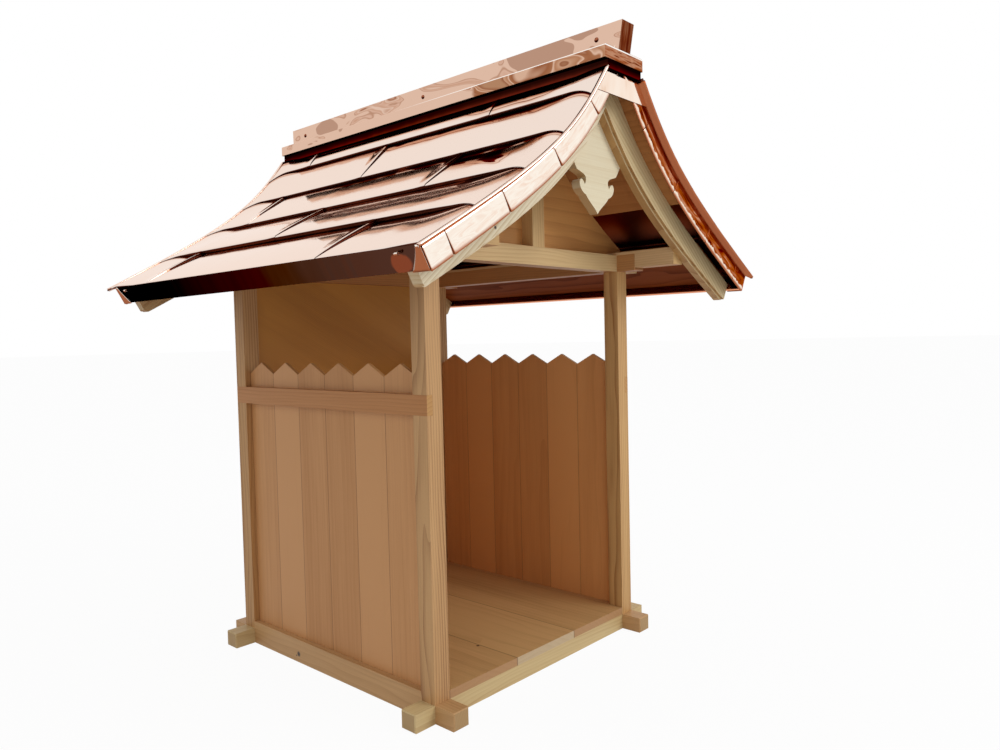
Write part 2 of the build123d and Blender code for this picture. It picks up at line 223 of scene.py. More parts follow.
# ---- Posts -------------------------------------------------------------------------------
# Four square hinoki posts stand on the crossings of the sills. They are quarter-sawn, so that
# their faces carry straight lines 5.5 mm apart from top to bottom.
for name, early, late in (("front_left", "CDA06C", "7E481E"), ("front_right", "D6AC70", "9A5F2E"),
                          ("back_left", "C2945E", "8A5428"), ("back_right", "C2945E", "8A5428")):
    finish_nodes(planed_hinoki(f"planed hinoki {name} post", "Z", early, late, "A67F55",
                               ring=0.0055, lines=0.9, heart=(2.0, 0.7)), f"{name}_post")


# ---- Walls -------------------------------------------------------------------------------
# Six thin upright boards a side with pointed heads, let into grooves, a rail across their
# outside and one wide flat-sawn panel at the back.
WALL_START, WALL_PITCH = -0.2175, 0.460 / 6
# The right-hand boards, seen from inside, are painted paler and more orange than the left-hand
# ones: painted warm light bounced inside the shelter.
for side, early, late in (("left", "D09862", "AA7240"), ("right", "E6A768", "BC7C42")):
    finish_nodes(planed_hinoki(f"planed hinoki {side} wall board", "Z", early, late, "BF8C55",
                               ring=0.011, lines=0.22, heart=(0.03, 0.0), spread=0.3, gap=0.35,
                               boards=("Y", WALL_START, WALL_PITCH)),
                 f"{side}_wall_boards")
finish_nodes(planed_hinoki("planed hinoki mid rail", "Y", "BF834C", "975F30", "C29156",
                           ring=0.006, lines=0.5), "left_mid_rail", "right_mid_rail")
# The back panel's deep, saturated orange is painted warm shade of the shelter's inside.
finish_nodes(planed_hinoki("planed hinoki back panel", "X", "C3842F", "8E5416", "C3842F",
                           ring=0.003, lines=0.45, heart=(0.01, 0.35), tilt=-28.0),
             "back_wall_panel")


# ---- Beams, plates and purlins -----------------------------------------------------------
# The top frame repeats the sills: crosswise beams and lengthwise plates halved together,
# with the eaves purlins lying along the plates and reaching out to the gables.
# The back beam is painted deeper and more orange than the front one: painted shade inside the
# shelter.
for end, early, late in (("front", "D9B985", "AE7F4C"), ("back", "BC7E42", "8A5222")):
    finish_nodes(planed_hinoki(f"planed hinoki {end} beam", "X", early, late, "BE9762",
                               ring=0.005, lines=0.6, heart=(0.02, 0.1)), f"{end}_beam")
finish_nodes(planed_hinoki("planed hinoki plate", "Y", "C8925A", "98663A", "94683C"),
             "left_wall_plate", "right_wall_plate", "ridge_purlin")
finish_nodes(planed_hinoki("planed hinoki purlin", "Y", "E6C594", "B98F5C", "C4A06A"),
             "left_eaves_purlin", "right_eaves_purlin")


# ---- Gables ------------------------------------------------------------------------------
# A hinoki king post stands on each beam and carries the ridge purlin, in front of a thin
# panel of boards that run crosswise and fill the gable.
finish_nodes(planed_hinoki("planed hinoki king post", "Z", "D9B67E", "A87642", "B79363",
                           ring=0.005, lines=0.6, heart=(0.3, 0.02)), "king_posts")
finish_nodes(planed_hinoki("planed hinoki gable panel", "X", "DEA360", "A86830", "D0A167",
                           ring=0.014, lines=0.45, heart=(0.02, -0.62)),
             "front_gable_panel", "back_gable_panel")


# ---- Bargeboards and pendants ------------------------------------------------------------
# The palest timber: curved bargeboards sawn out of wide plank, so their grain runs straight
# up the slope, and a fretted pendant with level grain hung where they meet.
NAIL_DOT = ((-0.2545, -0.384, 0.6985), 0.0030)
# The back bargeboards are painted browner than the front ones: painted shade.
for side, end, early, late in (("left", "front", "EADDBF", "BC9A66"),
                               ("right", "front", "D9C497", "A37C48"),
                               ("left", "back", "C9A877", "9A7040"),
                               ("right", "back", "C9A877", "9A7040")):
    tilt = 40.0 if side == "left" else -40.0
    finish_nodes(planed_hinoki(f"planed hinoki {end} {side} bargeboard", "X", early, late,
                               "D2BF98", ring=0.006, lines=0.8, heart=(0.38, -0.50),
                               tilt=tilt, knots=(NAIL_DOT,)),
                 f"{end}_{side}_bargeboard")
finish_nodes(planed_hinoki("planed hinoki pendant", "X", "E6DABB", "CDB68C", "D2BF98",
                           ring=0.008, lines=0.25, heart=(0.04, -0.45)),
             "front_pendant", "back_pendant")


# ---- Roof boards -------------------------------------------------------------------------
# Two wide hinoki boards bent over each slope under the ridge, and one along each eave painted
# darker as painted shade; between them the bare underside of the copper shows, in its painted
# shadow colour.
for side, tilt in (("left", 42.0), ("right", -42.0)):
    finish_nodes(planed_hinoki(f"planed hinoki {side} deck board", "Y", "CFA172", "9A6C3E",
                               "A97C48", tilt=tilt, ring=0.008, gloss=0.15),
                 f"{side}_roof_deck")
finish_nodes(planed_hinoki("planed hinoki eaves board", "Y", "96562A", "5E2E10", "96562A",
                           ring=0.006, lines=0.8, heart=(0.4, 0.1), gloss=0.05), "eaves_boards")


# ---- Copper courses ----------------------------------------------------------------------
# Bright bare sheet copper, mirror-rolled, with shallow dents: five lapped courses a slope,
# each of two or three sheets that overlap at staggered joints. Their lower edges are turned
# down, stand proud in the middle and are hammered flat at the verges.
def roof_curve():
    """The right-hand slope from the tip of the eave: a cubic Bezier curve, the sum of four
    corners weighted by the terms of ((1 - t) + t) cubed, as points, unit directions and
    running lengths."""
    share = np.linspace(0, 1, 801)[:, None]
    corners = np.array([(0.4245, 0.660), (0.15706, 0.80642), (0.11339, 0.84520),
                        (0.0176, 0.9883)])
    curve = ((1 - share) ** 3 * corners[0] + 3 * (1 - share) ** 2 * share * corners[1]
             + 3 * (1 - share) * share ** 2 * corners[2] + share ** 3 * corners[3])
    way = np.gradient(curve, axis=0)
    length = np.concatenate([[0], np.cumsum(np.hypot(*np.diff(curve, axis=0).T))])
    return curve, way / np.hypot(*way.T)[:, None], length


def roof_place(along, drop):
    """x and z at a distance up the right-hand slope and a depth along its normal; past either
    end the slope runs on straight."""
    curve, way, length = roof_curve()
    at = [np.interp(along, length, column) for column in (*curve.T, *way.T)]
    past = np.minimum(along, 0) + np.maximum(along - length[-1], 0)
    return at[0] + past * at[2] - drop * at[3], at[1] + past * at[3] + drop * at[2]


def patch(points, wrap=False):
    """Quads over a grid of points (rows, columns, 3); wrap closes the rows into rings."""
    rows, columns = points.shape[:2]
    index = np.arange(rows * columns).reshape(rows, columns)
    if wrap:
        index = np.concatenate([index, index[:, :1]], axis=1)
    quads = np.stack([index[:-1, :-1], index[:-1, 1:], index[1:, 1:], index[1:, :-1]], -1)
    return points.reshape(-1, 3), quads.reshape(-1, 4)


def build(name, patches, material, values=None):
    """One mesh object from patches; values are point attributes, one array per patch."""
    places, faces, count = [], [], 0
    for points, quads in patches:
        places.append(points)
        faces.append(quads + count)
        count += len(points)
    places, faces = np.concatenate(places), np.concatenate(faces)
    mesh = bpy.data.meshes.new(name)
    mesh.from_pydata(places.tolist(), [], faces.tolist())
    for key, arrays in (values or {}).items():
        layer = mesh.attributes.new(key, "FLOAT", "POINT")
        flat = np.concatenate([array.ravel() for array in arrays])
        layer.data.foreach_set("value", flat.astype(np.float32))
    mesh.shade_smooth()
    piece = bpy.data.objects.new(name, mesh)
    bpy.context.scene.collection.objects.link(piece)
    piece.data.materials.append(material)
    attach(piece, "root")
    return piece


# Distance between dents, and between specks of rolling grit, which are drawn about ten times
# as coarse as real so that they show; depth of a dent at full strength.
DENT_PITCH, GRIT_PITCH, DENT_DEPTH = 0.050, 0.004, 0.002


def sheet_copper(name, paint, shadow, roughness=0.07, dents=0.5):
    """Rolled sheet copper, nearly a mirror. paint(tree, place) gives the colour of the bright
    side; edges and laps that face down take the shadow colour, if any, and are rougher. Dents
    bend what it mirrors, grit varies its roughness, and a tint at grazing angles, deeper where
    the copper is dark, keeps it from greying."""
    material, tree = blank_material(name)
    place = add(tree, "TexCoord").outputs["Object"]
    colour = paint(tree, place)
    if shadow:
        up = add(tree, "SeparateXYZ", {0: add(tree, "NewGeometry").outputs["Normal"]}).outputs["Z"]
        under = add(tree, "MapRange", {"Value": up, "From Min": -0.02,
                                       "From Max": -0.25}).outputs[0]
        colour = add(tree, "Mix", {0: under, 6: colour, 7: linear(shadow)},
                     data_type="RGBA").outputs[2]
    else:
        under = 0.0
    light = add(tree, "RGBToBW", {0: colour}).outputs[0]
    edge = add(tree, "ValToRGB", {"Fac": light},
               stops=((0.03, "96685A"), (0.12, "C49C8C"), (0.30, "FFF2EA"))).outputs["Color"]
    waves = add(tree, "TexNoise", {"Vector": place, "Scale": 1 / DENT_PITCH, "Detail": 0.0})
    grit = add(tree, "TexNoise", {"Vector": place, "Scale": 1 / GRIT_PITCH, "Detail": 2.0})
    bump = add(tree, "Bump", {"Height": waves.outputs["Fac"], "Strength": dents,
                              "Distance": DENT_DEPTH})
    rough = add(tree, "MapRange", {"Value": grit.outputs["Fac"], "To Min": roughness * 0.85,
                                   "To Max": roughness * 1.2}).outputs[0]
    rough = add(tree, "Math", {0: under, 1: 0.4, 2: rough}, operation="MULTIPLY_ADD").outputs[0]
    metal = add(tree, "BsdfPrincipled", {"Base Color": colour, "Metallic": 1.0,
                                         "Specular Tint": edge, "Roughness": rough,
                                         "Normal": bump.outputs[0]})
    add(tree, "OutputMaterial", {"Surface": metal.outputs[0]})
    return material


def course_paint(tree, place):
    """Pale rose sheets with a dark maroon painted shade and reflection below each lap, 22 mm
    deep, which breaks into painted reflections in swirls of tan and red-brown up to 105 mm
    deep, 77 mm across and 220 mm long, towards the front, where the sheets are more buckled;
    painted shade, dark, along the folded joints."""
    below = add(tree, "Attribute", attribute_name="below_lap").outputs["Fac"]
    swirl = add(tree, "Attribute", attribute_name="swirl").outputs["Fac"]
    reach = add(tree, "MapRange", {"Value": swirl, "To Min": 0.022, "To Max": 0.105}).outputs[0]
    field = add(tree, "Math", {0: below, 1: reach}, operation="DIVIDE").outputs[0]
    long = add(tree, "Mapping", {"Vector": place, "Scale": (13.0, 4.5, 13.0)}).outputs[0]
    curls = add(tree, "TexNoise", {"Vector": long, "Scale": 1.0, "Detail": 2.0,
                                   "Roughness": 0.45, "Distortion": 1.2}).outputs["Fac"]
    curls = add(tree, "Math", {0: curls, 1: 0.5}, operation="SUBTRACT").outputs[0]
    curls = add(tree, "Math", {0: curls, 1: swirl}, operation="MULTIPLY").outputs[0]
    field = add(tree, "Math", {0: curls, 1: 2.6, 2: field}, operation="MULTIPLY_ADD").outputs[0]
    fold = add(tree, "Attribute", attribute_name="fold").outputs["Fac"]
    field = add(tree, "Math", {0: fold, 1: -3.0, 2: field}, operation="MULTIPLY_ADD").outputs[0]
    # Painted shade and reflection: maroon at the laps and folds, tan and red-brown swirls, then the
    # pale sheet.
    return add(tree, "ValToRGB", {"Fac": field},
               stops=((0.0, "240905"), (0.10, "3A0F08"), (0.20, "6A2C1A"), (0.24, "8A4A30"),
                      (0.27, "D9A98C"), (0.40, "DDB49C"), (0.43, "7A3C26"), (0.47, "D8AE96"),
                      (0.56, "E8D0C2"), (0.70, "EEDFD5"))).outputs["Color"]


# How far up the slope the ridge sits; how far from the middle the sheets end, and the plain
# face of the verge lies.
SEAT, EDGE, FACE = 0.476, 0.4225, 0.4128
# How far up the slope each course starts, how high its lip stands, and how strongly painted
# reflection swirls show on it, as on a buckled sheet.
COURSE_STARTS = (0.014, 0.133, 0.244, 0.346, 0.438, SEAT)
LIPS = (0.0032, 0.0077, 0.0062, 0.0052, 0.0052, 0.0052)
SWIRL_STRENGTH = (0.25, 0.8, 1.0, 0.45, 0.3)
# The joints of the even and of the odd courses, and how far the sheets overlap there and
# under the course above; the width in which a lip eases down to the verge.
JOINTS = ((-0.208, 0.287), (0.045,))
JOINT_LAP, COURSE_LAP, VERGE_EASE = 0.007, 0.014, 0.12
# Depth of a sheet's bed under the roof line in the middle and at the verge; how thick a sheet
# is, how much it bows between its edges, the radius of its turned edge and the air over a lap.
BED, VERGE_BED, SHEET, BOW, ROLL, AIR = 0.0064, 0.0016, 0.0006, 0.0024, 0.0022, 0.0002
# Rows of points on a sheet's lip, on its rolled edge and on its flat.
LIP_ROWS, ROLL_ROWS, FLAT_ROWS = 4, 5, 26


def ease(share):
    """A step from 0 to 1 that starts and ends level: 3t squared less 2t cubed."""
    share = np.clip(share, 0, 1)
    return share * share * (3 - 2 * share)


def course_edge(course, y):
    """How far up the slope a course's lower edge lies: a level line that dips by 23 mm towards
    the verges with the square of the distance past a point 55 mm in; the lowest course's edge
    runs straight out to pointed ears instead."""
    if course == 0:
        return COURSE_STARTS[0] - 0.0135 * np.clip((np.abs(y) - FACE) / (EDGE - FACE), 0, 1)
    past = np.clip(1 - (EDGE - np.abs(y)) / 0.055, 0, 1)
    return COURSE_STARTS[course] - 0.023 * past ** 2


def course_drop(course, along, y, joints):
    """Depth of a course under the roof line: a straight line up the slope from its raised
    lower edge to its bedded head, eased up to flush at the verges, less the lift of a sheet
    along the joint where it lies on its neighbour, which grows up the slope."""
    inner = ease((EDGE - np.abs(y)) / VERGE_EASE)
    edge = course_edge(course, y)
    share = np.clip((along - edge) / (COURSE_STARTS[course + 1] - edge), 0, 1.2)
    crest = AIR + (BED - LIPS[course] - AIR) * inner
    bed = VERGE_BED + (BED - VERGE_BED) * inner
    drop = crest + (bed - crest) * share - 4 * BOW * inner * share * (1 - share)
    for joint in joints:
        lift = (0.0007 + 0.45 * LIPS[course + 1] * share) * (1 - ease((y - joint) / 0.03))
        drop = drop - np.where(y >= joint, lift, 0)
    return drop


def course_sheet(course, low, high):
    """Rows up one sheet from the foot of its turned-down lip, round a quarter circle at its
    lower edge, to 14 mm past the lap above: distances up the slope, depths, places along the
    roof, and 1 on the three columns where the end that laps its neighbour is folded down."""
    joints = [low] if low in JOINTS[course % 2] else []
    y = np.linspace(low, high, int((high - low) / 0.005))
    if joints:
        y = np.concatenate([[low, low, low, low + 0.0004], y[1:]])
    y = y[None, :]
    share = np.linspace(0, 1, FLAT_ROWS)[:, None]
    edge = course_edge(course, y)
    reach = (SEAT + 0.004 if course == 4 else COURSE_STARTS[course + 1] + COURSE_LAP) - edge
    crest = course_drop(course, edge, y, joints)
    foot = crest + LIPS[0]
    if course:
        foot = course_drop(course - 1, edge, y, JOINTS[(course - 1) % 2]) - 0.0004
    roll = np.minimum(ROLL, 0.5 * np.maximum(foot - crest, 0.0003))
    turn = np.linspace(0, 0.5 * np.pi, ROLL_ROWS + 1)[:-1, None]
    falling = np.linspace(1, 0, LIP_ROWS)[:, None]
    along = np.concatenate([edge + 0 * falling, edge + roll * (1 - np.cos(turn)),
                            edge + roll + (reach - roll) * share])
    lying = course_drop(course, along[LIP_ROWS + ROLL_ROWS:], y, joints)
    start = lying[:1]
    drop = np.concatenate([start + roll + (foot - start - roll) * falling,
                           start + roll * (1 - np.sin(turn)), lying])
    if joints:
        under = course_drop(course, along, y[:, :1] - 1e-5, []) - AIR
        for column, part in enumerate((1.0, 0.5, 0.12)):
            drop[:, column] = drop[:, 3] + (under[:, 0] - drop[:, 3]) * part
    fold = np.zeros_like(along)
    fold[:, :3 * len(joints)] = 1
    return along, drop, y + 0 * along, fold


def course_sheets(side):
    """All the sheets of one slope, side -1 for the left and 1 for the right, with each point's
    distance below the lap above it, its share of the painted reflection swirls, and the folded
    ends."""
    patches, near_lap, buckled, folded = [], [], [], []
    for course in range(5):
        cuts = (-EDGE, *JOINTS[course % 2], EDGE)
        for low, high in zip(cuts, cuts[1:]):
            along, drop, y, fold = course_sheet(course, low, high + JOINT_LAP * (high < EDGE))
            x, z = roof_place(along, drop)
            points = np.stack([side * x, y, z], -1)
            patches.append(patch(points[:, ::-side]))
            above = course_edge(course + 1, y) if course < 4 else SEAT
            near_lap.append((above - along)[:, ::-side])
            front = ease((0.25 - y) / 0.35) * ease((EDGE - 0.02 - np.abs(y)) / 0.1)
            buckled.append((front * SWIRL_STRENGTH[course])[:, ::-side])
            folded.append(fold[:, ::-side])
    return build(f"{'left' if side < 0 else 'right'}_copper_sheets", patches, roof_copper,
                 {"below_lap": near_lap, "swirl": buckled, "fold": folded})


roof_copper = sheet_copper("mill-finish roofing copper", course_paint, "6C3828", dents=0.12)
for side, name in ((-1, "left"), (1, "right")):
    sheets = course_sheets(side)
    thick = sheets.modifiers.new("sheet thickness", "SOLIDIFY")
    thick.thickness, thick.offset = SHEET, -1
    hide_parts(f"{name}_copper_courses")


# ---- Verges ------------------------------------------------------------------------------
# Strips of the same sheet folded over the gable edges and nailed: a narrow hem that clips the
# courses, and below it five lengths of plain face, whose cut ends leave thin wedges painted
# dark as shade. The left-hand faces mirror a bright room; the right-hand ones are painted
# brown, a painted reflection of a brown one.
def verge_paint(tree, place):
    """Cream on the left, a little pinker on the hem; on the right red-brown streaks, a painted
    reflection, 38 mm long and a third of the face deep, with painted highlights in a cream
    crease under the hem and a ragged cream line along the lower edge; painted shade, nearly
    black, in the joints."""
    parts = {key: add(tree, "Attribute", attribute_name=key).outputs["Fac"]
             for key in ("down", "dark", "along")}
    side = add(tree, "SeparateXYZ", {0: place}).outputs["X"]
    right = add(tree, "MapRange", {"Value": side, "From Min": 0.0, "From Max": 0.004}).outputs[0]
    flow = add(tree, "CombineXYZ", {"X": parts["along"], "Y": parts["down"]}).outputs[0]
    flow = add(tree, "Mapping", {"Vector": flow, "Scale": (26.0, 3.4, 1.0)}).outputs[0]
    streaks = add(tree, "TexNoise", {"Vector": flow, "Scale": 1.0, "Detail": 4.0,
                                     "Distortion": 0.9}).outputs["Fac"]
    # Painted reflection of a brown room on the right-hand faces.
    brown = add(tree, "ValToRGB", {"Fac": streaks},
                stops=((0.30, "5A1E0C"), (0.42, "9A4A26"), (0.55, "AE5A30"), (0.66, "C98A66"),
                       (0.74, "7A3216"))).outputs["Color"]
    # Painted highlights: a ragged cream line along the lower edge and a cream crease under the hem.
    flow = add(tree, "Mapping", {"Vector": flow, "Scale": (3.0, 0.02, 1.0)}).outputs[0]
    ragged = add(tree, "TexNoise", {"Vector": flow, "Scale": 1.0, "Detail": 3.0}).outputs["Fac"]
    line = add(tree, "Math", {0: ragged, 1: 0.5, 2: parts["down"]},
               operation="MULTIPLY_ADD").outputs[0]
    line = add(tree, "MapRange", {"Value": line, "From Min": 1.05, "From Max": 1.08}).outputs[0]
    crease = add(tree, "Math", {0: parts["down"], 1: 0.02, 2: 0.018},
                 operation="COMPARE").outputs[0]
    line = add(tree, "Math", {0: line, 1: crease}, operation="MAXIMUM").outputs[0]
    brown = add(tree, "Mix", {0: line, 6: brown, 7: linear("F6E6D4")}, data_type="RGBA").outputs[2]
    cream = add(tree, "ValToRGB", {"Fac": streaks},
                stops=((0.3, "F7E4D4"), (0.5, "FDF3E6"), (0.66, "F6DDCB"),
                       (0.75, "FFF8EC"))).outputs["Color"]
    hem = add(tree, "Math", {0: parts["down"], 1: -0.5}, operation="LESS_THAN").outputs[0]
    cream = add(tree, "Mix", {0: hem, 6: cream, 7: linear("EFD5C6")}, data_type="RGBA").outputs[2]
    colour = add(tree, "Mix", {0: right, 6: cream, 7: brown}, data_type="RGBA").outputs[2]
    # Painted shade: where the dark attribute is set, in the seams' gaps, the colour turns nearly
    # black.
    return add(tree, "Mix", {0: parts["dark"], 6: colour, 7: linear("240C06")},
               data_type="RGBA").outputs[2]


# How far up the slope the lengths of plain face meet; how deep the face hangs at the eave and
# at the ridge; where it starts under the hem; and the hem's outline from the inside over the
# edge and down to the face, as distances from the middle and depths.
VERGE_SEAMS = (0.055, 0.172, 0.298, 0.4145)
VERGE_FOOT = (0.0370, 0.0325)
FACE_TOP = 0.0046
HEM = ((0.4176, 0.0010), (0.4178, -0.0007), (0.4221, -0.0007), (0.4228, -0.0003),
       (0.4230, 0.0008), (0.4226, 0.0018), (0.4216, 0.0024), (0.4140, 0.0036), (0.4129, 0.0046))
# How wide a seam's cut is at its top and how much it opens to its foot, the share of that on
# the right; how far a cut end is turned in; half the width and the depth of the strip painted
# dark behind it as shade in the gap; and the fold along the lower edge, as drops and insets.
SEAM_CUT, SEAM_OPENING, RIGHT_SHARE = 0.0007, 0.0016, 0.35
TURNED_IN, SHADE_STRIP_HALF, SHADE_STRIP_INSET = 0.0012, 0.005, 0.0011
FOLD_DROPS, FOLD_INSETS = (0.0004, 0.0006, 0.0002, -0.0060), (0.0003, 0.0010, 0.0015, 0.0015)
# The width of the flap over the fascia's end at its top and how much it widens; where the
# hem's end is curled, its width, and the curl's radius and how that shrinks with each radian.
FLAP_WIDTH, FLAP_SPREAD = 0.008, 0.022
CURL_PLACE, CURL_WIDTH, CURL_RADIUS, CURL_SHRINK = 0.372, 0.006, 0.0034, 0.0004


def verge(side, end):
    """One gable edge: the hem's outline carried along the slope, and flat faces between seams
    that open downwards with the square of the depth, with folded lower edges, their turned-in
    cut ends painted dark and a strip painted dark behind each seam, as shade in the gaps; then
    a flap that widens downwards over the fascia's end, with painted shade towards its lower
    inner corner, and the hem's end curled under it in a shrinking circle, painted a little dark
    as shade."""
    top = roof_curve()[2][-1]
    patches, values = [], {"down": [], "dark": [], "along": []}

    def lay(along, out, drop, down, dark):
        """Adds a patch from distances up the slope, distances from the middle and depths, with
        the share of the face's depth and the darkness at each point."""
        along, out, drop, down, dark = np.broadcast_arrays(along, out, drop, down, dark)
        x, z = roof_place(along, drop)
        points = np.stack([side * x, end * out, z], -1)
        patches.append(patch(points[:, ::-1] if side * end > 0 else points))
        for key, value in zip(values, (down, dark, along)):
            values[key].append(value[:, ::-1] if side * end > 0 else value)

    def foot(along):
        """How deep the face hangs: a straight line from the eave to the ridge."""
        return np.interp(along, (COURSE_STARTS[0], top), VERGE_FOOT)

    along = np.linspace(0.0015, SEAT, 120)[:, None]
    out, drop = np.array(HEM).T[:, None, :]
    ear = np.clip(1 - along / COURSE_STARTS[0], 0, 1)
    lay(along, np.maximum(out, FACE + (EDGE - FACE - 0.001) * ear), drop, -1.0, 0.0)
    for low, high in zip((COURSE_STARTS[0], *VERGE_SEAMS), (*VERGE_SEAMS, top)):
        down = np.linspace(0, 1, 8)[None, :]
        share = np.concatenate([[0, 0], np.linspace(0.004, 0.996, 26), [1, 1]])[:, None]
        gap = (SEAM_CUT + SEAM_OPENING * down ** 2) * (1 if side < 0 else RIGHT_SHARE)
        start = low + gap * (low > 0.02)
        along = start + (high - gap - start) * share
        # cut is 1 on the turned-in ends, which are painted dark as shade in the seam.
        turned, cut = (np.array([1.0, at_end] + [0.0] * 26 + [at_end, 1.0])[:, None]
                       for at_end in (0.0, 1.0))
        out = FACE - TURNED_IN * turned
        drop = FACE_TOP + (foot(along) - FACE_TOP) * down
        fold, inset = np.array((FOLD_DROPS, FOLD_INSETS))[:, None, :]
        last = slice(-1, None)
        lay(np.concatenate([along, along[:, last] + 0 * fold], 1),
            np.concatenate([out + 0 * down, out - inset], 1),
            np.concatenate([drop, drop[:, last] + fold], 1),
            np.concatenate([down + 0 * share, 1 + 0 * (share + fold)], 1), cut)
    # Strips painted nearly black behind the seams, as painted shade in their gaps.
    for seam in VERGE_SEAMS:
        along = np.linspace(seam - SHADE_STRIP_HALF, seam + SHADE_STRIP_HALF, 4)[:, None]
        share = np.linspace(0, 1, 4)[None, :]
        lay(along, FACE - SHADE_STRIP_INSET, FACE_TOP + (foot(along) - 0.0050) * share, share, 1.0)
    # The flap darkens with painted shade towards its lower inner corner; the curl under it is
    # painted a little dark as shade.
    share = np.linspace(0, 1, 10)[:, None]
    across = np.linspace(0, 1, 8)[None, :]
    width = FLAP_WIDTH + FLAP_SPREAD * share ** 1.3
    lay(COURSE_STARTS[0] - 0.0022 - 0.0004 * np.sin(np.pi * across), FACE - width * across,
        0.003 + 0.033 * share, 0.5, 0.35 * across ** 2 * share)
    turn = np.linspace(0.2, 1.7 * np.pi, 22)[:, None]
    radius = CURL_RADIUS - CURL_SHRINK * turn
    lay(COURSE_STARTS[0] - 0.0030 - radius * (1 - np.cos(turn)),
        CURL_PLACE + CURL_WIDTH * (across - 0.5), 0.0105 - radius * np.sin(turn), 0.5, 0.15)
    return patches, values


verge_copper = sheet_copper("folded verge copper", verge_paint, "B46C48", dents=0.35)
for end, name in ((-1, "front"), (1, "back")):
    patches, values = [], {"down": [], "dark": [], "along": []}
    for side in (-1, 1):
        more, theirs = verge(side, end)
        patches += more
        for key in values:
            values[key] += theirs[key]
    strips = build(f"{name}_verge_folds", patches, verge_copper, values)
    thick = strips.modifiers.new("sheet thickness", "SOLIDIFY")
    thick.thickness, thick.offset = SHEET, -1
    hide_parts(f"{name}_verge_strips")


# ---- Fascias and apex plates -------------------------------------------------------------
# A strip of sheet copper fixed along each eave, painted near-black as a painted reflection of
# the dark ground, with its lower hem folded in under the feet of the bargeboards; a bright
# plate closes each gable under the ridge.
def fascia_paint(tree, place):
    """Painted reflection: near-black brown at the rear and warmer towards the front, in faint
    upright streaks 17 mm wide, with a round red-brown painted reflection 34 mm wide at the
    front end; the inner side is painted bright orange, as painted light."""
    along = add(tree, "SeparateXYZ", {0: place}).outputs["Y"]
    reflection_warmth = add(tree, "MapRange", {"Value": along, "From Min": 0.3, "From Max": -0.41}).outputs[0]
    streaks = add(tree, "Mapping", {"Vector": place, "Scale": (5.0, 60.0, 5.0)}).outputs[0]
    streaks = add(tree, "TexNoise", {"Vector": streaks, "Scale": 1.0, "Detail": 2.0}).outputs["Fac"]
    field = add(tree, "Math", {0: streaks, 1: 0.35, 2: reflection_warmth}, operation="MULTIPLY_ADD").outputs[0]
    dark = add(tree, "ValToRGB", {"Fac": field},
               stops=((0.1, "2C2220"), (0.6, "3C2D28"), (0.9, "4A352E"),
                      (1.0, "50342B"))).outputs["Color"]
    # Painted reflection: a round red-brown spot near the front end.
    spot_y, spot_z, half_length, half_height = -0.368, 0.645, 0.017, 0.011
    spot = add(tree, "Mapping", {"Vector": place,
                                 "Location": (0.0, -spot_y / half_length, -spot_z / half_height),
                                 "Scale": (0.0, 1 / half_length, 1 / half_height)}).outputs[0]
    spot = add(tree, "VectorMath", {0: spot}, operation="LENGTH").outputs["Value"]
    spot = add(tree, "Math", {0: streaks, 1: 0.8, 2: spot}, operation="MULTIPLY_ADD").outputs[0]
    spot = add(tree, "MapRange", {"Value": spot, "From Min": 1.5, "From Max": 1.3}).outputs[0]
    outer = add(tree, "Mix", {0: spot, 6: dark, 7: linear("84442E")}, data_type="RGBA").outputs[2]
    # Painted light: the inner side is painted bright orange.
    side = add(tree, "SeparateXYZ", {0: place}).outputs["X"]
    turned = add(tree, "SeparateXYZ", {0: add(tree, "NewGeometry").outputs["Normal"]}).outputs["X"]
    inward = add(tree, "Math", {0: side, 1: turned}, operation="MULTIPLY").outputs[0]
    inward = add(tree, "MapRange", {"Value": inward, "From Min": -0.1, "From Max": -0.2}).outputs[0]
    return add(tree, "Mix", {0: inward, 6: outer, 7: linear("E89A70")}, data_type="RGBA").outputs[2]


finish_nodes(sheet_copper("eaves fascia copper", fascia_paint, None, dents=0.3),
             "left_eaves_fascia", "right_eaves_fascia")


def plate_paint(tree, place):
    """Cream with a few warmer streaks down the plate, 25 mm by 70 mm."""
    streaks = add(tree, "Mapping", {"Vector": place, "Scale": (40.0, 5.0, 14.0)}).outputs[0]
    streaks = add(tree, "TexNoise", {"Vector": streaks, "Scale": 1.0, "Detail": 2.0}).outputs["Fac"]
    return add(tree, "ValToRGB", {"Fac": streaks},
               stops=((0.4, "FBEBDC"), (0.6, "F8E2D0"), (0.75, "E8C4A8"))).outputs["Color"]


finish_nodes(sheet_copper("apex plate copper", plate_paint, "7A3218"), "apex_plates")


# ---- Ridge -------------------------------------------------------------------------------
# A timber ridge clad in sheet copper, in three steps: a base in the shade of the cap, the cap,
# and the box, which is fixed with three domed copper screws a side.
# The heights of the box's foot and of the cap's rounded upper edge, and half the width of the
# painted highlight along that edge.
BOX_FOOT, CAP_EDGE, GLINT_HALF = 0.976, 0.9747, 0.0010


